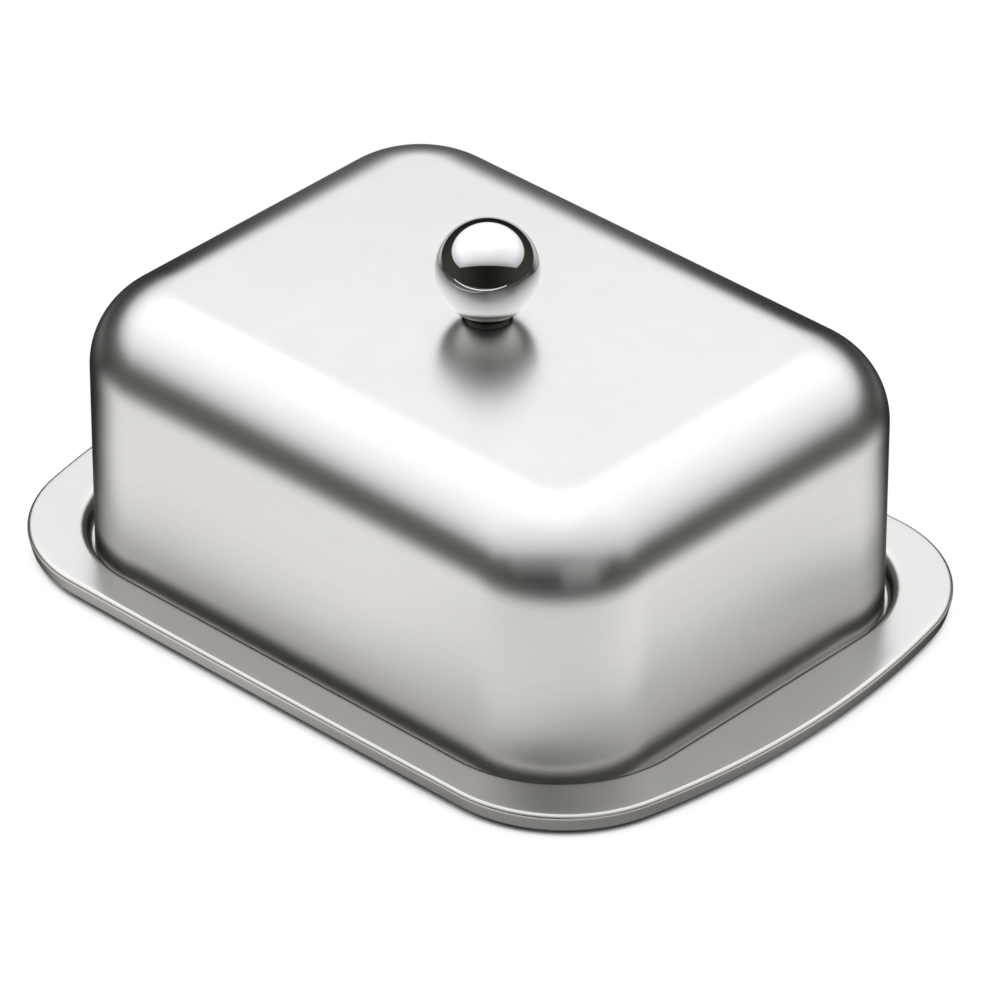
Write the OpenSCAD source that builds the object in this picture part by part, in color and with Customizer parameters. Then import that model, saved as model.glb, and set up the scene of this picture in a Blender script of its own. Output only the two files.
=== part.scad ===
// Butter dish in stainless steel: a shallow tray with a turned-down rim, and a deep-drawn lid that
// stands in the tray's well and carries a ball knob, which a screw holds from inside the lid.
// Millimetres. +Z is up, +X runs along the dish, and the origin is the middle of the tray's underside.

/* [Sheet] */
// Thickness of the steel sheet of the tray and the lid
sheet = 0.8; // [0.6:0.1:1]

/* [Tray] */
// Length of the tray over its bowed ends
tray_l = 176; // [174:1:190]
// Width of the tray over its bowed sides
tray_w = 131; // [130:0.5:145]
// Corner radius of the tray's outline
tray_r = 30.5; // [29:0.5:32]
// How far each short end bows outwards
end_bow = 4; // [1:0.5:5]
// How far each long side bows outwards
side_bow = 0.2; // [0.1:0.1:1.5]
// Height of the rim's top above the table
rim_h = 5.2; // [5:0.1:8]
// Outer radius of the bend between the rim's top and its skirt
rim_edge_r = 1; // [0.9:0.1:1.4]
// Outer radius of the hem, where the skirt turns in under the rim
hem_r = 1.2; // [1:0.1:1.4]
// Height of the hem's underside above the table
hem_lift = 0.9; // [0.5:0.1:1]
// How far the skirt leans inwards from upright, in degrees
skirt_lean = 12; // [0:1:15]

/* [Well] */
// Length of the well at the rim's top
well_l = 152.2; // [151.4:0.2:154]
// Width of the well at the rim's top
well_w = 116.4; // [115.6:0.2:117]
// Corner radius of the well at the rim's top
well_r = 30; // [28:0.5:31]
// Radius of the bend from the rim's top down into the well
well_edge_r = 2; // [1.2:0.1:2]
// Inner radius between the well's wall and its floor
well_floor_r = 1; // [0.5:0.1:1]

/* [Lid] */
// Length of the lid
lid_l = 143; // [130:0.5:143]
// Width of the lid
lid_w = 108.5; // [100:0.5:108.5]
// Corner radius of the lid's walls
lid_r = 23.5; // [22:0.1:24]
// Outer radius of the lid's top edge
lid_edge_r = 17.5; // [10:0.5:18]
// Height of the lid's top above the table
lid_top = 60.5; // [50:0.5:75]
// Diameter of the screw's hole in the lid
lid_hole_d = 4.5; // [4.3:0.1:4.8]

/* [Knob] */
// Diameter of the ball
ball_d = 21; // [18:0.5:26]
// Height of the ball's centre above the lid's top
ball_rise = 10.8; // [10.8:0.1:14]
// Diameter of the collar under the ball
collar_d = 10.2; // [8:0.2:11]
// Height of the collar at its outer edge
collar_h = 1.2; // [0.9:0.1:1.5]
// Gap between the ball and its seat in the collar
seat_gap = 0.05; // [0.02:0.01:0.1]

/* [Screw and washers] */
// Thread diameter of the screw
screw_d = 4; // [3:0.5:4]
// Length of the screw under its head
screw_l = 12; // [10:1:14]
// Diameter of the screw's pan head
head_d = 8; // [7:0.5:9]
// Height of the screw's head
head_h = 2.6; // [2.2:0.1:3]
// Width of each slot of the cross recess
recess_w = 1.1; // [0.8:0.1:1.3]
// Length of each slot of the cross recess
recess_l = 4.4; // [3.5:0.1:5]
// Depth of the cross recess
recess_deep = 1.5; // [1:0.1:1.8]
// Outer diameter of the flat washer
washer_d = 12; // [9:0.5:14]
// Thickness of the flat washer
washer_h = 1; // [0.8:0.1:1.2]
// Outer diameter of the lock washer
lock_d = 7.6; // [7:0.1:8]
// Thickness of the lock washer
lock_h = 0.9; // [0.7:0.1:1.1]
// Width of the split in the lock washer
lock_split = 0.7; // [0.4:0.1:1]

/* [Hidden] */

// Clearance around the screw's thread in the ball, and the wider one in the washers and the collar
thread_gap = 0.02;
shank_gap = 0.15;
// How far the thread's hole runs past the screw's end, for its drill point
hole_spare = 1.5;

// The tray's outline is eight arcs that run smoothly into each other: four corners, two ends, two sides.
// Each long arc is a core arc through two corner centres, grown outwards by the corner's radius.
corner_x = tray_l / 2 - end_bow - tray_r;
corner_y = tray_w / 2 - side_bow - tray_r;
end_core_r = (corner_y * corner_y + end_bow * end_bow) / (2 * end_bow);
side_core_r = (corner_x * corner_x + side_bow * side_bow) / (2 * side_bow);
end_angle = asin(corner_y / end_core_r);
side_angle = asin(corner_x / side_core_r);
end_centre_x = corner_x + end_bow - end_core_r;
side_centre_y = corner_y + side_bow - side_core_r;

well_x = well_l / 2 - well_r;
well_y = well_w / 2 - well_r;
floor_r = well_r - well_edge_r - well_floor_r;

// Steps along each corner, end and side of the tray's outlines, and round each bend of its sheet
corner_steps = 9;
end_steps = 5;
side_steps = 3;
outer_bend_steps = 5;
inner_bend_steps = 3;
ring_size = 4 * corner_steps + 2 * end_steps + 2 * side_steps;

lid_x = lid_l / 2 - lid_r;
lid_y = lid_w / 2 - lid_r;
lid_under = lid_top - sheet;

ball_z = lid_top + ball_rise;
washer_z = lid_under - washer_h;
lock_z = washer_z - lock_h;
head_z = lock_z - head_h;

// Facets of the small round shapes and of the large ones
bend_fn = 32;
corner_fn = 96;

// One quadrant of a shape, mirrored into all four
module all_quadrants() {
    for (flip_x = [0, 1])
        for (flip_y = [0, 1])
            mirror([flip_x, 0, 0])
                mirror([0, flip_y, 0])
                    children();
}

// A quarter ring of bent sheet, from start degrees to 90 degrees on
module bend(outer_r, start) {
    rotate(start)
        intersection() {
            difference() {
                circle(outer_r, $fn = bend_fn * 4);
                circle(outer_r - sheet, $fn = bend_fn * 4);
            }
            square(outer_r + 1);
        }
}

// Sweeps a section round one quadrant of a straight-sided outline with round corners.
// The section's x is measured outwards from the corner centre at (x, y), and its y is height.
module sweep_round(x, y) {
    translate([x, y, 0])
        rotate_extrude(angle = 90, $fn = corner_fn)
            children();
    translate([0, y, 0])
        rotate([90, 0, 90])
            linear_extrude(x)
                children();
    translate([x, y, 0])
        rotate([90, 0, 0])
            linear_extrude(y)
                children();
}

// Points of an arc and of a straight line, each without its last point
function arc(centre, r, from, to, steps) =
    [for (i = [0:steps - 1]) centre + r * [cos(from + (to - from) * i / steps),
                                           sin(from + (to - from) * i / steps)]];
function line(from, to, steps) =
    [for (i = [0:steps - 1]) from + (to - from) * i / steps];

// The rim's bowed outline, with corners of radius r
function bowed_outline(r) = concat(
    arc([end_centre_x, 0], end_core_r + r, -end_angle, end_angle, end_steps),
    arc([corner_x, corner_y], r, end_angle, 90 - side_angle, corner_steps),
    arc([0, side_centre_y], side_core_r + r, 90 - side_angle, 90 + side_angle, side_steps),
    arc([-corner_x, corner_y], r, 90 + side_angle, 180 - end_angle, corner_steps),
    arc([-end_centre_x, 0], end_core_r + r, 180 - end_angle, 180 + end_angle, end_steps),
    arc([-corner_x, -corner_y], r, 180 + end_angle, 270 - side_angle, corner_steps),
    arc([0, -side_centre_y], side_core_r + r, 270 - side_angle, 270 + side_angle, side_steps),
    arc([corner_x, -corner_y], r, 270 + side_angle, 360 - end_angle, corner_steps));

// The well's straight-sided outline, with corners of radius r
function well_outline(r) = concat(
    line([well_x + r, -well_y], [well_x + r, well_y], end_steps),
    arc([well_x, well_y], r, 0, 90, corner_steps),
    line([well_x, well_y + r], [-well_x, well_y + r], side_steps),
    arc([-well_x, well_y], r, 90, 180, corner_steps),
    line([-well_x - r, well_y], [-well_x - r, -well_y], end_steps),
    arc([-well_x, -well_y], r, 180, 270, corner_steps),
    line([-well_x, -well_y - r], [well_x, -well_y - r], side_steps),
    arc([well_x, -well_y], r, 270, 360, corner_steps));

// Section of one bend, as [corner radius, height] pairs about the bend's centre
function bend_section(centre_r, centre_z, r, from, to, steps) =
    [for (i = [0:steps]) [centre_r + r * cos(from + (to - from) * i / steps),
                          centre_z + r * sin(from + (to - from) * i / steps)]];

// Outline points lifted to the height of their place in the section
function lifted(outline, z) = [for (p = outline) [p[0], p[1], z]];
function well_rings(section) = [for (s = section) each lifted(well_outline(s[0]), s[1])];
function rim_rings(section) = [for (s = section) each lifted(bowed_outline(s[0]), s[1])];

// The tray's sheet: rings from its floor up over the rim to the hem, and back under the rim to its floor
module tray() {
    floor_z = sheet + well_floor_r;
    lip_z = rim_h - well_edge_r;
    edge_r = tray_r - rim_edge_r;
    edge_z = rim_h - rim_edge_r;
    curl_z = hem_lift + hem_r;
    curl_r = edge_r - ((edge_z - curl_z) * sin(skirt_lean) - rim_edge_r + hem_r) / cos(skirt_lean);
    points = concat(
        well_rings(bend_section(floor_r, floor_z, well_floor_r, -90, 0, outer_bend_steps)),
        well_rings(bend_section(well_r, lip_z, well_edge_r, 180, 90, outer_bend_steps)),
        rim_rings(bend_section(edge_r, edge_z, rim_edge_r, 90, -skirt_lean, outer_bend_steps)),
        rim_rings(bend_section(curl_r, curl_z, hem_r, -skirt_lean, -90, outer_bend_steps)),
        rim_rings(bend_section(curl_r, curl_z, hem_r - sheet, -90, -skirt_lean, inner_bend_steps)),
        rim_rings(bend_section(edge_r, edge_z, rim_edge_r - sheet, -skirt_lean, 90, inner_bend_steps)),
        well_rings(bend_section(well_r, lip_z, well_edge_r - sheet, 90, 180, inner_bend_steps)),
        well_rings(bend_section(floor_r, floor_z, well_floor_r + sheet, 0, -90, inner_bend_steps)));
    last_ring = len(points) / ring_size - 1;
    bands = [for (k = [0:last_ring - 1])
                for (j = [0:ring_size - 1])
                    [k * ring_size + j,
                     k * ring_size + (j + 1) % ring_size,
                     (k + 1) * ring_size + (j + 1) % ring_size,
                     (k + 1) * ring_size + j]];
    top_centre = len(points);
    under_centre = top_centre + 1;
    floor_top = [for (j = [0:ring_size - 1]) [top_centre, (j + 1) % ring_size, j]];
    floor_under = [for (j = [0:ring_size - 1])
                      [under_centre,
                       last_ring * ring_size + j,
                       last_ring * ring_size + (j + 1) % ring_size]];
    color("gainsboro")
        polyhedron(concat(points, [[0, 0, sheet], [0, 0, 0]]), concat(bands, floor_top, floor_under));
}

// Section of the lid: wall, top edge and the flat top as far as the corner centre
module lid_section() {
    translate([lid_r - sheet, sheet])
        square([sheet, lid_top - lid_edge_r - sheet]);
    translate([lid_r - lid_edge_r, lid_top - lid_edge_r])
        bend(lid_edge_r, 0);
    translate([0, lid_under])
        square([lid_r - lid_edge_r, sheet]);
}

module lid() {
    color("gainsboro")
        difference() {
            union() {
                all_quadrants()
                    sweep_round(lid_x, lid_y)
                        lid_section();
                translate([-lid_x, -lid_y, lid_under])
                    cube([2 * lid_x, 2 * lid_y, sheet]);
            }
            translate([0, 0, lid_under - 1])
                cylinder(d = lid_hole_d, h = sheet + 2, $fn = bend_fn);
        }
}

module knob_ball() {
    thread_top = head_z + head_h + screw_l + hole_spare;
    color("silver")
        difference() {
            translate([0, 0, ball_z])
                sphere(d = ball_d, $fn = corner_fn);
            translate([0, 0, lid_top])
                cylinder(d = screw_d + 2 * thread_gap, h = thread_top - lid_top, $fn = bend_fn);
        }
}

module knob_collar() {
    color("dimgray")
        difference() {
            translate([0, 0, lid_top])
                cylinder(d = collar_d, h = collar_h, $fn = corner_fn);
            translate([0, 0, ball_z])
                sphere(d = ball_d + 2 * seat_gap, $fn = corner_fn);
            translate([0, 0, lid_top - 1])
                cylinder(d = screw_d + 2 * shank_gap, h = collar_h + 2, $fn = bend_fn);
        }
}

// A ring under the lid, at height z
module washer(outer_d, z, h) {
    translate([0, 0, z])
        difference() {
            cylinder(d = outer_d, h = h, $fn = corner_fn);
            translate([0, 0, -1])
                cylinder(d = screw_d + 2 * shank_gap, h = h + 2, $fn = bend_fn);
        }
}

module knob_flat_washer() {
    color("silver")
        washer(washer_d, washer_z, washer_h);
}

module knob_lock_washer() {
    split_tilt = 35;
    color("darkgray")
        difference() {
            washer(lock_d, lock_z, lock_h);
            translate([lock_d / 2, 0, lock_z + lock_h / 2])
                rotate([split_tilt, 0, 0])
                    cube([lock_d, lock_split, 4 * lock_h], center = true);
        }
}

// Pan head with a domed face, pointing down into the lid, and a plain shank for its thread
module knob_screw() {
    head_round = head_h / 2;
    color("silver")
        difference() {
            union() {
                translate([0, 0, head_z + head_h])
                    cylinder(d = screw_d, h = screw_l, $fn = bend_fn);
                translate([0, 0, head_z + head_round])
                    cylinder(d = head_d, h = head_h - head_round, $fn = corner_fn);
                translate([0, 0, head_z])
                    cylinder(d1 = head_d - 2 * head_round, d2 = head_d, h = head_round, $fn = corner_fn);
            }
            for (turn = [0, 90])
                rotate(turn)
                    translate([-recess_l / 2, -recess_w / 2, head_z - 1])
                        cube([recess_l, recess_w, recess_deep + 1]);
        }
}

tray();
lid();
knob_ball();
knob_collar();
knob_flat_washer();
knob_lock_washer();
knob_screw();
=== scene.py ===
"""Butter dish in stainless steel: a satin tray and lid, and a mirror-polished ball knob.

The tray's and the lid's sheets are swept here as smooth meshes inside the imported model's own sizes,
and the ball, its collar and the fasteners are turned inside the same boxes. Metres, +Z up.
"""
import math

import bmesh
import bpy
from mathutils import Euler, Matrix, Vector


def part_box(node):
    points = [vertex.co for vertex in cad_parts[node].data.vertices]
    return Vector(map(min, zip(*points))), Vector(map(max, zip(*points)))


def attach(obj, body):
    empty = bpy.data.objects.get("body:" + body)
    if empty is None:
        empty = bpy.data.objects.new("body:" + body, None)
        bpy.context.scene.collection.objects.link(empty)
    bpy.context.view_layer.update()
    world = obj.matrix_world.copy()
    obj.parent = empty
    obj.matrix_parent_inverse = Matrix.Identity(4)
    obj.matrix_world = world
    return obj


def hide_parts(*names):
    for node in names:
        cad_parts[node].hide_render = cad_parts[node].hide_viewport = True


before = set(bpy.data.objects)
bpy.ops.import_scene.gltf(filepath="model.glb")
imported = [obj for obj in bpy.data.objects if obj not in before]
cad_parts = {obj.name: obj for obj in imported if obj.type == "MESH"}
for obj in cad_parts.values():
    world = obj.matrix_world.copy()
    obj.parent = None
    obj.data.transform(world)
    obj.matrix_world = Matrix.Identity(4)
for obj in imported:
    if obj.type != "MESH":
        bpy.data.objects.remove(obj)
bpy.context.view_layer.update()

MM = 0.001
SHEET = 0.8 * MM

# The tray's outline: corner radius, and how far its ends and sides bow
TRAY_CORNER = 30.5 * MM
END_BOW = 4.0 * MM
SIDE_BOW = 0.2 * MM

# The tray's edge: its two bends, the hem's height above the table, and the skirt's lean in degrees
RIM_EDGE = 1.0 * MM
HEM = 1.2 * MM
HEM_LIFT = 0.9 * MM
SKIRT_LEAN = 12.0

# The well in the tray
WELL_LENGTH = 152.2 * MM
WELL_WIDTH = 116.4 * MM
WELL_CORNER = 30.0 * MM
WELL_EDGE = 2.0 * MM
WELL_FLOOR = 1.0 * MM

# The lid, the radius of the screw's hole in it, and its lip's rounding as a share of the sheet
LID_CORNER = 23.5 * MM
LID_EDGE = 17.5 * MM
LID_HOLE = 2.25 * MM
LID_LIP_SHARE = 0.4

# The knob: its hole in the ball, its seat and its collar's edge
SCREW_THREAD = 4.0 * MM
SCREW_HOLE = 4.04 * MM
HOLE_MOUTH = 4.6 * MM
BORE_SPARE = 1.0 * MM
SEAT_GAP = 0.05 * MM
COLLAR_EDGE = 0.25 * MM

# The fasteners: the hole in the washers, their edges, the lock washer's split and the screw's recess
SHANK_HOLE = 4.3 * MM
WASHER_EDGE = 0.12 * MM
LOCK_SPLIT = 0.7 * MM
LOCK_SLANT = 35.0
SCREW_TIP = 0.5 * MM
RECESS_LENGTH = 4.4 * MM
RECESS_WIDTH = 1.1 * MM
RECESS_DEPTH = 1.5 * MM
RECESS_TAPER = 0.7

# Steps of the outlines: round a corner, along an end and along a side
CORNER_STEPS = 40
END_STEPS = 24
SIDE_STEPS = 32

# Steps of the tray's section: its bends above and below, and across its rim
FLOOR_BEND_STEPS = 10
WELL_LIP_STEPS = 16
RIM_EDGE_STEPS = 16
HEM_STEPS = 12
UNDER_HEM_STEPS = 6
UNDER_EDGE_STEPS = 8
RIM_FLAT_STEPS = 6

# Steps of the lid's section: its round edge outside and inside, its walls and its lip
LID_EDGE_STEPS = 40
LID_UNDER_STEPS = 24
LID_WALL_STEPS = 24
LID_LIP_STEPS = 5

# Steps across flats, round turned pieces and round their small edges
FLOOR_RINGS = 10
TOP_RINGS = 24
TURN_STEPS = 96
BALL_STEPS = 64
SEAT_STEPS = 12
BEND_STEPS = 10
EDGE_STEPS = 4

# Turned pieces and fasteners keep edges sharp above this angle in degrees
SHARP_ANGLE = 35

# The camera
CAMERA_AZIMUTH = 43.38
CAMERA_ELEVATION = 33.91
CAMERA_DISTANCE = 1.7128
CAMERA_LENS = 306.0
CAMERA_SENSOR = 36.0
CAMERA_CLIP_START = 0.05
CAMERA_CLIP_END = 50.0
CAMERA_AIM = Vector((-3.66, 7.475, 11.83)) * MM

# The floor: its size, and the shadow right under the dish's edge, by how much of the sky is open there
FLOOR_RADIUS = 0.55
FLOOR_SIDES = 96
FLOOR_GAP = 0.2 * MM
SHADOW_REACH = 10.0 * MM
SHADOW_DARK = 0.2
SHADOW_CLEAR = 0.6

# The pool of light on the floor in reflections: its brightness by the distance from the tray's edge.
# Next to the tray it starts dim, and less so to the left, between the two facings given.
POOL_NEAR = 0.35
POOL_NEAR_LEFT = 0.36
POOL_RIGHT_FACING = -0.4
POOL_LEFT_FACING = 0.8
POOL_RISE = 19.0 * MM
POOL_LIGHT = 1.22
POOL_INNER = 45.0 * MM
POOL_OUTER = 210.0 * MM
POOL_FAR_SHARE = 0.05

# The floor's own even brightness in reflections, further away: faint at the sides, brighter behind
FAR_INNER = 60.0 * MM
FAR_OUTER = 180.0 * MM
FAR_LIGHT = 0.03
FAR_BACK_LIGHT = 0.6
FAR_BACK_FACING = -0.85
FAR_SIDE_FACING = -0.3

# The pool's brightness by the side of the dish, as the cosine of the angle from the camera's side
POOL_FRONT_FACING = 0.0
POOL_BACK_FACING = -0.45
POOL_BACK = 0.05
POOL_AHEAD = 0.8
AHEAD_START = 0.6
AHEAD_FULL = 1.0
POOL_COLOUR = (1.0, 0.99, 0.985)

# The source overhead: its edges as sines of their height, and how its brightness grows and falls
SOURCE_EDGE = 0.345
SOURCE_SIDE_DROP = 0.06
SOURCE_LEFT_LIFT = 0.02
SOURCE_NEAR_SLOPE = 0.885
SOURCE_SOFT = 0.02
SOURCE_SPREAD = 0.3
SOURCE_EDGE_SHARE = 0.6
SOURCE_TOP = 1.55
SOURCE_FALL = 0.5
SOURCE_BACK_GAIN = 0.72
SOURCE_LEFT_GAIN = 0.08
SOURCE_COLOUR = (0.98, 0.99, 1.02)

# The dark walls under it
WALL_LIGHT = 0.014
WALL_SIDE_LIGHT = 0.04
WALL_COLOUR = (1.0, 0.93, 0.76)

# The soft panels in front, which light the satin steel and stay out of the polished ball: each one's
# name, turn to the right of the camera, elevation, width, height and power
PANEL_DISTANCE = 3.0
PANELS = (("low_panel", 20.0, 18.0, 1.8, 1.5, 1.9),
          ("high_panel", 0.0, 38.0, 6.0, 1.7, 6.0))

# The low strip that only the ball mirrors, as a thin bright line
STRIP_TURN = 17.0
STRIP_ELEVATION = 1.5
STRIP_DISTANCE = 0.3
STRIP_WIDTH = 0.9
STRIP_HEIGHT = 0.014
STRIP_POWER = 0.04


# ---------------------------------------------------------------- outlines and sweeps

def arc_points(centre, radius, start, end, steps):
    """Points along an arc, without its last point, with angles in radians."""
    out = []
    for i in range(steps):
        angle = start + (end - start) * i / steps
        out.append((centre[0] + radius * math.cos(angle), centre[1] + radius * math.sin(angle)))
    return out


def line_points(start, end, steps):
    """Points along a straight line, without its last point."""
    return [(start[0] + (end[0] - start[0]) * i / steps, start[1] + (end[1] - start[1]) * i / steps)
            for i in range(steps)]


def round_outline(x, y, radius):
    """A straight-sided outline with round corners centred at (+-x, +-y)."""
    quarter = math.pi / 2
    return (line_points((x + radius, -y), (x + radius, y), END_STEPS)
            + arc_points((x, y), radius, 0, quarter, CORNER_STEPS)
            + line_points((x, y + radius), (-x, y + radius), SIDE_STEPS)
            + arc_points((-x, y), radius, quarter, 2 * quarter, CORNER_STEPS)
            + line_points((-x - radius, y), (-x - radius, -y), END_STEPS)
            + arc_points((-x, -y), radius, 2 * quarter, 3 * quarter, CORNER_STEPS)
            + line_points((-x, -y - radius), (x, -y - radius), SIDE_STEPS)
            + arc_points((x, -y), radius, 3 * quarter, 4 * quarter, CORNER_STEPS))


def bowed_outline(x, y, radius):
    """The tray's outline: corners centred at (+-x, +-y), with ends and sides on long tangent arcs."""
    end_core = (y * y + END_BOW ** 2) / (2 * END_BOW)
    side_core = (x * x + SIDE_BOW ** 2) / (2 * SIDE_BOW)
    end_angle = math.asin(y / end_core)
    side_angle = math.asin(x / side_core)
    end_x = x + END_BOW - end_core
    side_y = y + SIDE_BOW - side_core
    quarter = math.pi / 2
    return (arc_points((end_x, 0), end_core + radius, -end_angle, end_angle, END_STEPS)
            + arc_points((x, y), radius, end_angle, quarter - side_angle, CORNER_STEPS)
            + arc_points((0, side_y), side_core + radius, quarter - side_angle, quarter + side_angle,
                         SIDE_STEPS)
            + arc_points((-x, y), radius, quarter + side_angle, 2 * quarter - end_angle, CORNER_STEPS)
            + arc_points((-end_x, 0), end_core + radius, 2 * quarter - end_angle,
                         2 * quarter + end_angle, END_STEPS)
            + arc_points((-x, -y), radius, 2 * quarter + end_angle, 3 * quarter - side_angle,
                         CORNER_STEPS)
            + arc_points((0, -side_y), side_core + radius, 3 * quarter - side_angle,
                         3 * quarter + side_angle, SIDE_STEPS)
            + arc_points((x, -y), radius, 3 * quarter + side_angle, 4 * quarter - end_angle,
                         CORNER_STEPS))


def bend(centre_r, centre_z, radius, start, end, steps):
    """Section of one bend, as (corner radius, height) pairs, with angles in degrees."""
    out = []
    for i in range(steps + 1):
        angle = math.radians(start + (end - start) * i / steps)
        out.append((centre_r + radius * math.cos(angle), centre_z + radius * math.sin(angle)))
    return out


def straight(start, end, steps):
    """The points between two section points, without either of them."""
    return line_points(start, end, steps)[1:]


def finish_mesh(name, mesh, material, sharp=None):
    """An object from a bmesh, smooth all over, or with edges kept sharp above an angle in degrees."""
    for face in mesh.faces:
        face.smooth = True
    data = bpy.data.meshes.new(name)
    mesh.to_mesh(data)
    mesh.free()
    if sharp is not None:
        data.set_sharp_from_angle(angle=math.radians(sharp))
    piece = bpy.data.objects.new(name, data)
    bpy.context.scene.collection.objects.link(piece)
    piece.data.materials.append(material)
    return piece


def stand_for(piece, node, body):
    """The piece takes a CAD node's place and its body."""
    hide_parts(node)
    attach(piece, body)


def join_rings(mesh, loops, closed):
    """A strip of faces between each ring of vertices and the next, and back to the first if closed."""
    size = len(loops[0])
    following = loops[1:] + loops[:1] if closed else loops[1:]
    for inner, outer in zip(loops, following):
        for j in range(size):
            mesh.faces.new((inner[j], outer[j], outer[(j + 1) % size], inner[(j + 1) % size]))


def cap_ring(mesh, loop, steps, flip):
    """A flat cap from a ring to its middle, in rings that shrink towards one vertex."""
    size = len(loop)
    middle = Vector((0, 0, loop[0].co.z))
    ring = loop
    for k in range(1, steps):
        inner = [mesh.verts.new(v.co.lerp(middle, k / steps)) for v in loop]
        for j in range(size):
            face = (inner[j], ring[j], ring[(j + 1) % size], inner[(j + 1) % size])
            mesh.faces.new(face[::-1] if flip else face)
        ring = inner
    centre = mesh.verts.new(middle)
    for j in range(size):
        face = (centre, ring[j], ring[(j + 1) % size])
        mesh.faces.new(face[::-1] if flip else face)


def between(inner, outer, steps):
    """Rings of points between two rings, without either of them."""
    return [[tuple(Vector(a).lerp(Vector(b), i / steps)) for a, b in zip(inner, outer)]
            for i in range(1, steps)]


# ---------------------------------------------------------------- materials

# How satin steel darkens where it is seen at a glancing angle
EDGE_TINT = (0.02, 0.02, 0.015)

# Satin steel's grain: how fine it is along X, Y and Z, and how much it changes the colour
GRAIN_SCALE = (120.0, 120.0, 1200.0)
GRAIN_TINT = 0.03

# The lid spreads light further across its grain, which runs round it, than along it
LID_ANISOTROPY = 0.55
QUARTER_TURN = 0.25

# Polished steel's wiping marks: how fine, the range of the noise that shows, and how much they dull it
MARK_SCALE = 420.0
MARK_LOW = 0.35
MARK_HIGH = 0.75
MARK_ROUGHNESS = 0.03


def new_material(name):
    """An empty node material with a Principled shader, its node tree and the shader."""
    material = bpy.data.materials.new(name)
    material.use_nodes = True
    tree = material.node_tree
    shader = tree.nodes["Principled BSDF"]
    return material, tree, shader


def link(tree, source, target):
    """A link from an output socket to an input socket."""
    tree.links.new(source, target)


def add(tree, kind, **values):
    """A node with the given inputs set by name, or by attribute where it has no such input."""
    node = tree.nodes.new(kind)
    for key, value in values.items():
        if key in node.inputs:
            node.inputs[key].default_value = value
        else:
            setattr(node, key, value)
    return node


def satin_steel(name, colour, roughness, anisotropy=0.0):
    """Satin stainless sheet: a fine grain that runs round the dish.

    Where it is given an anisotropy, it spreads light further across its grain than along it.
    """
    material, tree, shader = new_material(name)
    coords = add(tree, "ShaderNodeTexCoord")
    stretch = add(tree, "ShaderNodeMapping")
    stretch.inputs["Scale"].default_value = GRAIN_SCALE
    link(tree, coords.outputs["Object"], stretch.inputs["Vector"])
    grain = add(tree, "ShaderNodeTexNoise", Scale=1.0, Detail=3.0, Roughness=0.6)
    link(tree, stretch.outputs["Vector"], grain.inputs["Vector"])
    shader.inputs["Roughness"].default_value = roughness

    tint = add(tree, "ShaderNodeMix", data_type="RGBA")
    tint.inputs["A"].default_value = (*[c * (1 - GRAIN_TINT) for c in colour], 1)
    tint.inputs["B"].default_value = (*[c * (1 + GRAIN_TINT) for c in colour], 1)
    link(tree, grain.outputs["Fac"], tint.inputs["Factor"])
    link(tree, tint.outputs["Result"], shader.inputs["Base Color"])

    shader.inputs["Metallic"].default_value = 1.0
    shader.inputs["Specular Tint"].default_value = (*EDGE_TINT, 1)
    if anisotropy:
        shader.inputs["Anisotropic"].default_value = anisotropy
        shader.inputs["Anisotropic Rotation"].default_value = QUARTER_TURN
        around = add(tree, "ShaderNodeTangent", direction_type="RADIAL", axis="Z")
        link(tree, around.outputs["Tangent"], shader.inputs["Tangent"])
    return material


def polished_steel(name, colour, roughness):
    """Mirror-polished steel with faint wiping marks."""
    material, tree, shader = new_material(name)
    coords = add(tree, "ShaderNodeTexCoord")
    marks = add(tree, "ShaderNodeTexNoise", Scale=MARK_SCALE, Detail=5.0, Roughness=0.65)
    link(tree, coords.outputs["Object"], marks.inputs["Vector"])
    rough = add(tree, "ShaderNodeMapRange")
    rough.inputs["From Min"].default_value = MARK_LOW
    rough.inputs["From Max"].default_value = MARK_HIGH
    rough.inputs["To Min"].default_value = roughness
    rough.inputs["To Max"].default_value = roughness + MARK_ROUGHNESS
    link(tree, marks.outputs["Fac"], rough.inputs["Value"])
    link(tree, rough.outputs["Result"], shader.inputs["Roughness"])
    shader.inputs["Base Color"].default_value = (*colour, 1)
    shader.inputs["Metallic"].default_value = 1.0
    return material


tray_steel = satin_steel("tray_steel", colour=(0.64, 0.625, 0.6), roughness=0.28)
lid_steel = satin_steel("lid_steel", colour=(0.69, 0.68, 0.66), roughness=0.27,
                        anisotropy=LID_ANISOTROPY)
ball_steel = polished_steel("ball_steel", colour=(0.78, 0.78, 0.77), roughness=0.02)
# The collar's near-black colour is painted shade: it stands in for the shade in the tight neck between
# the ball and the lid.
collar_steel = satin_steel("collar_steel", colour=(0.09, 0.088, 0.08), roughness=0.3)
fastener_steel = satin_steel("fastener_steel", colour=(0.55, 0.55, 0.54), roughness=0.28)


# ---------------------------------------------------------------- tray

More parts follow.
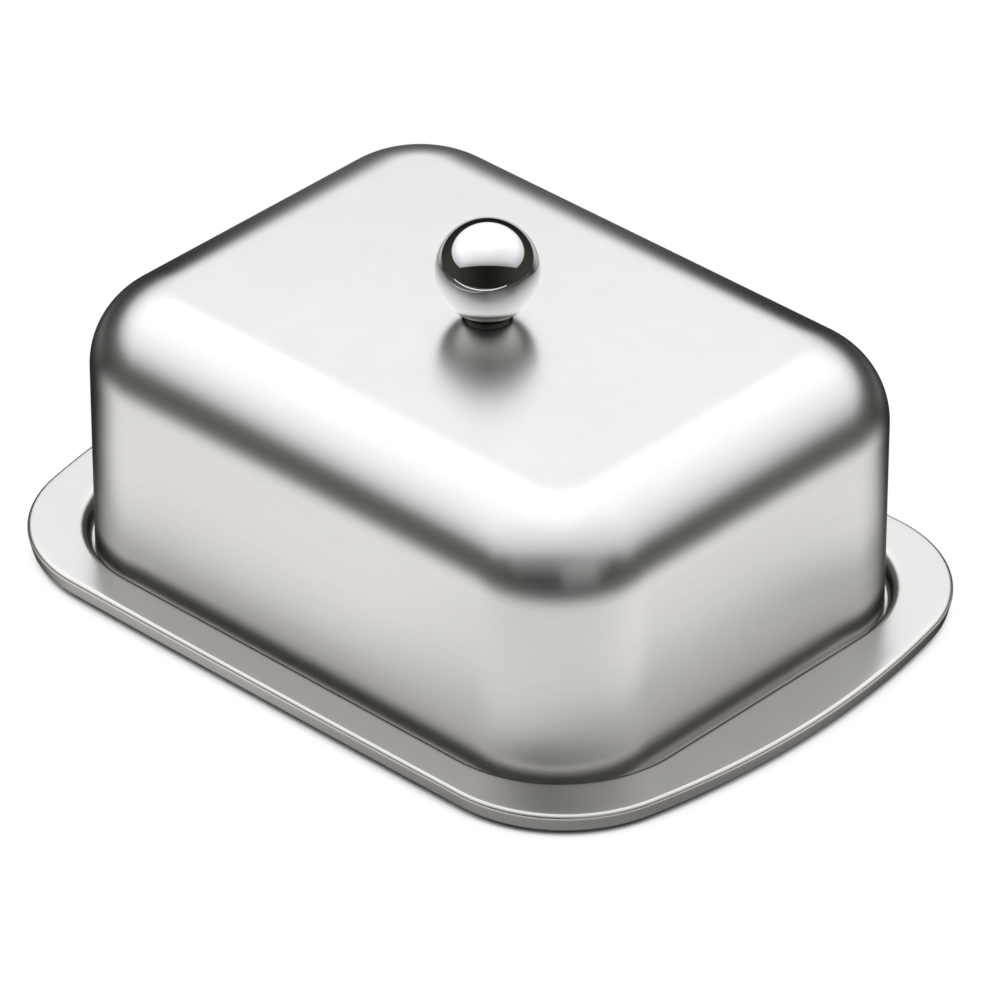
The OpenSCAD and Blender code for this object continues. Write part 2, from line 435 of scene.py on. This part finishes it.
def build_tray():
    """The tray: a well, a flat rim, and a turned-down skirt that ends in a hem, all of one sheet."""
    low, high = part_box("tray")
    rim = high.z
    ground = low.z
    x = high.x - END_BOW - TRAY_CORNER
    y = high.y - SIDE_BOW - TRAY_CORNER
    wx = WELL_LENGTH / 2 - WELL_CORNER
    wy = WELL_WIDTH / 2 - WELL_CORNER
    floor_r = WELL_CORNER - WELL_EDGE - WELL_FLOOR
    floor_z = ground + SHEET + WELL_FLOOR
    lip_z = rim - WELL_EDGE
    edge_r = TRAY_CORNER - RIM_EDGE
    edge_z = rim - RIM_EDGE
    hem_z = ground + HEM_LIFT + HEM
    lean = math.radians(SKIRT_LEAN)
    hem_r = edge_r - ((edge_z - hem_z) * math.sin(lean) - RIM_EDGE + HEM) / math.cos(lean)

    def well(section):
        return [[(px, py, z) for px, py in round_outline(wx, wy, r)] for r, z in section]

    def rim_rings(section):
        return [[(px, py, z) for px, py in bowed_outline(x, y, r)] for r, z in section]

    top_inner = well(bend(floor_r, floor_z, WELL_FLOOR, -90, 0, FLOOR_BEND_STEPS)
                     + bend(WELL_CORNER, lip_z, WELL_EDGE, 180, 90, WELL_LIP_STEPS))
    top_outer = rim_rings(bend(edge_r, edge_z, RIM_EDGE, 90, -SKIRT_LEAN, RIM_EDGE_STEPS)
                          + bend(hem_r, hem_z, HEM, -SKIRT_LEAN, -90, HEM_STEPS))
    under_outer = rim_rings(bend(hem_r, hem_z, HEM - SHEET, -90, -SKIRT_LEAN, UNDER_HEM_STEPS)
                            + bend(edge_r, edge_z, RIM_EDGE - SHEET, -SKIRT_LEAN, 90,
                                   UNDER_EDGE_STEPS))
    under_inner = well(bend(WELL_CORNER, lip_z, WELL_EDGE - SHEET, 90, 180, UNDER_EDGE_STEPS)
                       + bend(floor_r, floor_z, WELL_FLOOR + SHEET, 0, -90, FLOOR_BEND_STEPS))
    rings = (top_inner + between(top_inner[-1], top_outer[0], RIM_FLAT_STEPS) + top_outer
             + under_outer + between(under_outer[-1], under_inner[0], RIM_FLAT_STEPS) + under_inner)
    mesh = bmesh.new()
    loops = [[mesh.verts.new(p) for p in ring] for ring in rings]
    join_rings(mesh, loops, closed=False)
    cap_ring(mesh, loops[0], FLOOR_RINGS, flip=False)
    cap_ring(mesh, loops[-1], FLOOR_RINGS, flip=True)
    stand_for(finish_mesh("tray_sheet", mesh, tray_steel), "tray", "tray")


# ---------------------------------------------------------------- lid

def build_lid():
    """The lid: upright walls and a flat top that meet in a large round edge, with the screw's hole."""
    low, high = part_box("lid")
    x = high.x - LID_CORNER
    y = high.y - LID_CORNER
    top = high.z
    edge_r = LID_CORNER - LID_EDGE
    edge_z = top - LID_EDGE
    lip = SHEET * LID_LIP_SHARE

    def rings(section):
        return [[(px, py, z) for px, py in round_outline(x, y, r)] for r, z in section]

    outside = (bend(edge_r, edge_z, LID_EDGE, 90, 0, LID_EDGE_STEPS)
               + straight((LID_CORNER, edge_z), (LID_CORNER, low.z + lip), LID_WALL_STEPS)
               + bend(LID_CORNER - lip, low.z + lip, lip, 0, -90, LID_LIP_STEPS))
    inside = (bend(LID_CORNER - SHEET + lip, low.z + lip, lip, -90, -180, LID_LIP_STEPS)
              + straight((LID_CORNER - SHEET, low.z + lip), (LID_CORNER - SHEET, edge_z),
                         LID_WALL_STEPS)
              + bend(edge_r, edge_z, LID_EDGE - SHEET, 0, 90, LID_UNDER_STEPS))
    outside = rings(outside)
    inside = rings(inside)

    def hole(ring):
        """The screw's hole, with a point for each point of a ring."""
        angles = [math.atan2(py, px) for px, py, _ in ring]
        return [(LID_HOLE * math.cos(a), LID_HOLE * math.sin(a), ring[0][2]) for a in angles]

    top_hole = hole(outside[0])
    under_hole = hole(inside[-1])
    loops = ([top_hole] + between(top_hole, outside[0], TOP_RINGS) + outside + inside
             + between(inside[-1], under_hole, TOP_RINGS) + [under_hole])
    mesh = bmesh.new()
    join_rings(mesh, [[mesh.verts.new(p) for p in ring] for ring in loops], closed=True)
    stand_for(finish_mesh("lid_shell", mesh, lid_steel), "lid", "lid")


# ---------------------------------------------------------------- knob

def turned(name, profile, material, closed=False):
    """A turned piece, from a profile of (radius, height) pairs that runs from its foot to its top."""
    mesh = bmesh.new()
    loops = []
    for radius, z in profile:
        if radius == 0:
            loops.append([mesh.verts.new((0, 0, z))])
            continue
        loops.append([mesh.verts.new((radius * math.cos(a), radius * math.sin(a), z))
                      for a in (2 * math.pi * i / TURN_STEPS for i in range(TURN_STEPS))])
    following = loops[1:] + loops[:1] if closed else loops[1:]
    for lower, upper in zip(loops, following):
        for j in range(TURN_STEPS):
            k = (j + 1) % TURN_STEPS
            if len(lower) == 1:
                mesh.faces.new((lower[0], upper[k], upper[j]))
            elif len(upper) == 1:
                mesh.faces.new((lower[j], lower[k], upper[0]))
            else:
                mesh.faces.new((lower[j], lower[k], upper[k], upper[j]))
    bmesh.ops.recalc_face_normals(mesh, faces=mesh.faces)
    return finish_mesh(name, mesh, material, sharp=SHARP_ANGLE)


def ring_section(inner, outer, low, high, edge):
    """The closed section of a ring with its four edges rounded to one radius."""
    return (bend(outer - edge, low + edge, edge, -90, 0, EDGE_STEPS)
            + bend(outer - edge, high - edge, edge, 0, 90, EDGE_STEPS)
            + bend(inner + edge, high - edge, edge, 90, 180, EDGE_STEPS)
            + bend(inner + edge, low + edge, edge, 180, 270, EDGE_STEPS))


def build_ball():
    """A polished ball with a blind hole from below for the screw."""
    low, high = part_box("knob_ball")
    radius = high.x
    middle = high.z - radius
    mouth = HOLE_MOUTH / 2
    start = -math.degrees(math.acos(mouth / radius))
    bore_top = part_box("knob_screw")[1].z + BORE_SPARE
    profile = [(0, bore_top + SCREW_HOLE / 2), (SCREW_HOLE / 2, bore_top),
               (SCREW_HOLE / 2, low.z + (HOLE_MOUTH - SCREW_HOLE))]
    profile += bend(0, middle, radius, start, 90, BALL_STEPS)[:-1]
    profile.append((0, high.z))
    stand_for(turned("knob_polished_ball", profile, ball_steel), "knob_ball", "lid")


def build_collar():
    """A neck with a rounded foot and a hollow seat that follows the ball, near-black with painted
    shade.
    """
    low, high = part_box("knob_collar")
    ball_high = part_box("knob_ball")[1]
    seat = ball_high.x + SEAT_GAP
    middle = ball_high.z - ball_high.x
    hole = SHANK_HOLE / 2
    seat_outer = math.sqrt(seat ** 2 - (middle - high.z) ** 2)
    outer = bend(high.x - COLLAR_EDGE, low.z + COLLAR_EDGE, COLLAR_EDGE, -90, 0, EDGE_STEPS)
    outer += bend(high.x - COLLAR_EDGE, high.z - COLLAR_EDGE, COLLAR_EDGE, 0, 90, EDGE_STEPS)
    hollow = []
    for i in range(SEAT_STEPS + 1):
        radius = seat_outer + (hole - seat_outer) * i / SEAT_STEPS
        hollow.append((radius, middle - math.sqrt(seat ** 2 - radius ** 2)))
    profile = outer + hollow + [(hole, low.z)]
    stand_for(turned("knob_neck", profile, collar_steel, closed=True), "knob_collar",
              "lid")


def build_flat_washer():
    """A wide flat washer with its edges rounded."""
    low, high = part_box("knob_flat_washer")
    section = ring_section(SHANK_HOLE / 2, high.x, low.z, high.z, WASHER_EDGE)
    stand_for(turned("knob_wide_washer", section, fastener_steel, closed=True), "knob_flat_washer",
              "lid")


def build_lock_washer():
    """A spring washer: one turn of square wire, cut at a slant."""
    low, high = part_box("knob_lock_washer")
    outer = (high.y - low.y) / 2
    middle = (low.z + high.z) / 2
    section = ring_section(SHANK_HOLE / 2, outer, low.z, high.z, WASHER_EDGE)
    mesh = bmesh.new()
    loops = []
    for i in range(TURN_STEPS + 1):
        share = i / TURN_STEPS
        loop = []
        for radius, z in section:
            cut = LOCK_SPLIT / 2 / radius
            slant = (z - middle) * math.tan(math.radians(LOCK_SLANT)) / radius
            a = cut + (2 * math.pi - 2 * cut) * share - slant
            loop.append(mesh.verts.new((radius * math.cos(a), radius * math.sin(a), z)))
        loops.append(loop)
    join_rings(mesh, loops, closed=False)
    mesh.faces.new(loops[0])
    mesh.faces.new(loops[-1])
    bmesh.ops.recalc_face_normals(mesh, faces=mesh.faces)
    stand_for(finish_mesh("knob_spring_washer", mesh, fastener_steel, sharp=SHARP_ANGLE),
              "knob_lock_washer", "lid")


def build_screw():
    """A pan-head screw that points up into the ball, with a cross recess in its face."""
    low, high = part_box("knob_screw")
    head = high.x
    head_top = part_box("knob_lock_washer")[0].z
    round_r = (head_top - low.z) / 2
    shank = SCREW_THREAD / 2
    profile = [(0, low.z)]
    profile += bend(head - round_r, low.z + round_r, round_r, -90, 0, BEND_STEPS)
    profile += bend(head - WASHER_EDGE, head_top - WASHER_EDGE, WASHER_EDGE, 0, 90, EDGE_STEPS)
    profile += [(shank, head_top), (shank, high.z - SCREW_TIP), (shank - SCREW_TIP, high.z),
                (0, high.z)]
    screw = turned("knob_pan_screw", profile, fastener_steel)
    cutter = bmesh.new()
    for turn in (0, math.pi / 2):
        made = bmesh.ops.create_cube(cutter, size=1.0)["verts"]
        for vert in made:
            deep = vert.co.z > 0
            length = RECESS_LENGTH * (RECESS_TAPER if deep else 1.0)
            width = RECESS_WIDTH * (RECESS_TAPER if deep else 1.0)
            place = Vector((vert.co.x * length, vert.co.y * width, 0))
            place.rotate(Euler((0, 0, turn)))
            place.z = low.z + RECESS_DEPTH if deep else low.z - RECESS_DEPTH
            vert.co = place
    tool = finish_mesh("recess_tool", cutter, fastener_steel)
    cut = screw.modifiers.new("recess", "BOOLEAN")
    cut.operation = "DIFFERENCE"
    cut.use_self = True
    cut.object = tool
    bpy.context.view_layer.update()
    shape = bpy.data.meshes.new_from_object(screw.evaluated_get(bpy.context.evaluated_depsgraph_get()))
    screw.modifiers.clear()
    screw.data = shape
    bpy.data.objects.remove(tool)
    shape.set_sharp_from_angle(angle=math.radians(SHARP_ANGLE))
    stand_for(screw, "knob_screw", "lid")


build_tray()
build_lid()
build_ball()
build_collar()
build_flat_washer()
build_lock_washer()
build_screw()


# ---------------------------------------------------------------- camera, floor and light

def direction(azimuth, elevation):
    """Unit vector from the dish towards a place, where azimuth 0 is in front (-Y) and 90 is +X."""
    a = math.radians(azimuth)
    e = math.radians(elevation)
    return Vector((math.sin(a) * math.cos(e), -math.cos(a) * math.cos(e), math.sin(e)))


def make_camera():
    """A long lens that looks at the dish from its near corner, and down on it."""
    data = bpy.data.cameras.new("camera")
    data.lens = CAMERA_LENS
    data.sensor_width = CAMERA_SENSOR
    data.clip_start = CAMERA_CLIP_START
    data.clip_end = CAMERA_CLIP_END
    camera = bpy.data.objects.new("camera", data)
    bpy.context.scene.collection.objects.link(camera)
    camera.location = direction(CAMERA_AZIMUTH, CAMERA_ELEVATION) * CAMERA_DISTANCE
    look = CAMERA_AIM - camera.location
    camera.rotation_euler = look.to_track_quat("-Z", "Y").to_euler()
    bpy.context.scene.camera = camera


def math_node(tree, operation, first, second=None):
    """A math node fed by two sockets or numbers; it returns its output socket."""
    node = add(tree, "ShaderNodeMath", operation=operation)
    for slot, value in zip(node.inputs, (first, second)):
        if value is None:
            continue
        if isinstance(value, (int, float)):
            slot.default_value = value
        else:
            link(tree, value, slot)
    return node.outputs["Value"]


def ranged(tree, value, low, high, to_low, to_high):
    """The value mapped from low..high to to_low..to_high and held there, with soft ends."""
    node = add(tree, "ShaderNodeMapRange", interpolation_type="SMOOTHSTEP")
    link(tree, value, node.inputs["Value"])
    ends = (("From Min", low), ("From Max", high), ("To Min", to_low), ("To Max", to_high))
    for name, number in ends:
        if isinstance(number, (int, float)):
            node.inputs[name].default_value = number
        else:
            link(tree, number, node.inputs[name])
    return node.outputs["Result"]


def vector_node(tree, operation, vector, constant=None):
    """A vector math node fed by a socket and, where it takes a second vector, by a constant."""
    node = add(tree, "ShaderNodeVectorMath", operation=operation)
    link(tree, vector, node.inputs[0])
    if constant is not None:
        node.inputs[1].default_value = constant
    return node


def along(tree, vector, towards):
    """How far a vector socket points towards a horizontal direction."""
    return vector_node(tree, "DOT_PRODUCT", vector, towards).outputs["Value"]


def seen_or_lighting(tree, seen, lighting):
    """The first shader where the camera looks straight at it, the second for reflections and light."""
    path = add(tree, "ShaderNodeLightPath")
    mix = add(tree, "ShaderNodeMixShader")
    link(tree, path.outputs["Is Camera Ray"], mix.inputs["Fac"])
    link(tree, lighting, mix.inputs[1])
    link(tree, seen, mix.inputs[2])
    return mix.outputs["Shader"]


def distance_from_tray(tree, place):
    """How far a place on the floor is outside the tray's outline."""
    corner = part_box("tray")[1] - Vector((TRAY_CORNER, TRAY_CORNER, 0))
    folded = vector_node(tree, "ABSOLUTE", place)
    outside = vector_node(tree, "SUBTRACT", folded.outputs["Vector"], corner)
    held = vector_node(tree, "MAXIMUM", outside.outputs["Vector"], (0, 0, 0))
    length = vector_node(tree, "LENGTH", held.outputs["Vector"])
    return math_node(tree, "SUBTRACT", length.outputs["Value"], TRAY_CORNER)


def make_floor():
    """A white floor with a thin shadow, and in reflections a pool of light in front of the dish."""
    bpy.ops.mesh.primitive_circle_add(vertices=FLOOR_SIDES, radius=FLOOR_RADIUS, fill_type="NGON",
                                      location=(0, 0, -FLOOR_GAP))
    floor = bpy.context.object
    floor.name = "floor"
    material = bpy.data.materials.new("floor_white")
    material.use_nodes = True
    tree = material.node_tree
    tree.nodes.clear()
    open_sky = add(tree, "ShaderNodeAmbientOcclusion", Distance=SHADOW_REACH)
    seen = add(tree, "ShaderNodeEmission")
    link(tree, ranged(tree, open_sky.outputs["AO"], SHADOW_DARK, SHADOW_CLEAR, 0.0, 1.0),
         seen.inputs["Strength"])

    place = add(tree, "ShaderNodeNewGeometry").outputs["Position"]
    length = vector_node(tree, "LENGTH", place).outputs["Value"]
    facing = math_node(tree, "DIVIDE", along(tree, place, direction(CAMERA_AZIMUTH, 0)), length)
    leftness = math_node(tree, "DIVIDE", along(tree, place, direction(CAMERA_AZIMUTH - 90, 0)), length)
    near = ranged(tree, leftness, POOL_RIGHT_FACING, POOL_LEFT_FACING,
                  POOL_NEAR, POOL_NEAR + POOL_NEAR_LEFT)
    distance = distance_from_tray(tree, place)
    rise = ranged(tree, distance, 0.0, POOL_RISE, near, POOL_LIGHT)
    fall = ranged(tree, distance, POOL_INNER, POOL_OUTER, 1.0, POOL_FAR_SHARE)
    pool = math_node(tree, "MULTIPLY", rise, fall)
    share = ranged(tree, facing, POOL_BACK_FACING, POOL_FRONT_FACING, POOL_BACK, 1.0)
    ahead = ranged(tree, facing, AHEAD_START, AHEAD_FULL, 1.0, POOL_AHEAD)
    share = math_node(tree, "MULTIPLY", share, ahead)
    light = add(tree, "ShaderNodeEmission", Color=(*POOL_COLOUR, 1))
    far_light = ranged(tree, facing, FAR_BACK_FACING, FAR_SIDE_FACING, FAR_BACK_LIGHT, FAR_LIGHT)
    far = math_node(tree, "MULTIPLY", far_light,
                    ranged(tree, distance, FAR_INNER, FAR_OUTER, 0.0, 1.0))
    strength = math_node(tree, "ADD", math_node(tree, "MULTIPLY", pool, share), far)
    link(tree, strength, light.inputs["Strength"])

    out = add(tree, "ShaderNodeOutputMaterial")
    shader = seen_or_lighting(tree, seen.outputs["Emission"], light.outputs["Emission"])
    link(tree, shader, out.inputs["Surface"])
    floor.data.materials.append(material)


def make_world():
    """A studio: dark walls all round, and one large soft source overhead that reaches lower behind."""
    world = bpy.data.worlds.new("studio")
    bpy.context.scene.world = world
    world.use_nodes = True
    tree = world.node_tree
    tree.nodes.clear()
    sight = add(tree, "ShaderNodeTexCoord").outputs["Generated"]
    split = add(tree, "ShaderNodeSeparateXYZ")
    link(tree, sight, split.inputs["Vector"])
    height = split.outputs["Z"]
    front = along(tree, sight, direction(CAMERA_AZIMUTH, 0))
    left = along(tree, sight, direction(CAMERA_AZIMUTH - 90, 0))
    side = math_node(tree, "MULTIPLY", left, left)
    level = math_node(tree, "ADD", height, math_node(tree, "MULTIPLY", side, SOURCE_SIDE_DROP))
    level = math_node(tree, "SUBTRACT", level, math_node(tree, "MULTIPLY", left, SOURCE_LEFT_LIFT))
    near_edge = math_node(tree, "SUBTRACT", height,
                          math_node(tree, "MULTIPLY", front, SOURCE_NEAR_SLOPE))
    inside = math_node(tree, "MINIMUM", math_node(tree, "SUBTRACT", level, SOURCE_EDGE), near_edge)
    step = ranged(tree, inside, -SOURCE_SOFT, SOURCE_SOFT, 0.0, SOURCE_EDGE_SHARE)
    source = math_node(tree, "ADD", step,
                       ranged(tree, inside, 0.0, SOURCE_SPREAD, 0.0, 1 - SOURCE_EDGE_SHARE))
    flatness = math_node(tree, "SUBTRACT", 1.0, math_node(tree, "MULTIPLY", height, height))
    gain = math_node(tree, "SUBTRACT", SOURCE_TOP,
                     math_node(tree, "MULTIPLY", math_node(tree, "SQRT", flatness), SOURCE_FALL))
    gain = math_node(tree, "SUBTRACT", gain, math_node(tree, "MULTIPLY", front, SOURCE_BACK_GAIN))
    gain = math_node(tree, "ADD", gain, math_node(tree, "MULTIPLY", left, SOURCE_LEFT_GAIN))
    source_light = add(tree, "ShaderNodeBackground", Color=(*SOURCE_COLOUR, 1))
    link(tree, math_node(tree, "MULTIPLY", gain, source), source_light.inputs["Strength"])
    wall = math_node(tree, "ADD", math_node(tree, "MULTIPLY", side, WALL_SIDE_LIGHT), WALL_LIGHT)
    wall_light = add(tree, "ShaderNodeBackground", Color=(*WALL_COLOUR, 1))
    link(tree, wall, wall_light.inputs["Strength"])
    light = add(tree, "ShaderNodeAddShader")
    link(tree, source_light.outputs["Background"], light.inputs[0])
    link(tree, wall_light.outputs["Background"], light.inputs[1])
    backdrop = add(tree, "ShaderNodeBackground", Color=(1, 1, 1, 1), Strength=1.0)
    out = add(tree, "ShaderNodeOutputWorld")
    shader = seen_or_lighting(tree, backdrop.outputs["Background"], light.outputs["Shader"])
    link(tree, shader, out.inputs["Surface"])


def lit_by(name, pieces):
    """A collection of the pieces that a light falls on."""
    lit = bpy.data.collections.new(name)
    for piece in pieces:
        lit.objects.link(piece)
    return lit


def soft_panel(name, place, width, height, power, lit):
    """A rectangle of light that faces the dish, unseen by the camera."""
    data = bpy.data.lights.new(name, "AREA")
    data.shape = "RECTANGLE"
    data.size = width
    data.size_y = height
    data.energy = power
    panel = bpy.data.objects.new(name, data)
    bpy.context.scene.collection.objects.link(panel)
    panel.location = place
    panel.rotation_euler = (-place).to_track_quat("-Z", "Y").to_euler()
    panel.visible_camera = False
    panel.light_linking.receiver_collection = lit


def make_panels():
    """Two soft panels that light all but the ball, and a low strip that only the ball mirrors."""
    pieces = [piece for piece in bpy.context.scene.objects if piece.type == "MESH"]
    ball = [piece for piece in pieces if piece.name == "knob_polished_ball"]
    satin = lit_by("lit_by_panels", [piece for piece in pieces if piece not in ball])
    for name, turn, elevation, width, height, power in PANELS:
        place = direction(CAMERA_AZIMUTH + turn, elevation) * PANEL_DISTANCE
        soft_panel(name, place, width, height, power, satin)
    place = direction(CAMERA_AZIMUTH - STRIP_TURN, STRIP_ELEVATION) * STRIP_DISTANCE
    soft_panel("strip", place, STRIP_WIDTH, STRIP_HEIGHT, STRIP_POWER, lit_by("lit_by_strip", ball))


make_panels()
make_camera()
make_floor()
make_world()
bpy.context.scene.view_settings.view_transform = "Standard"
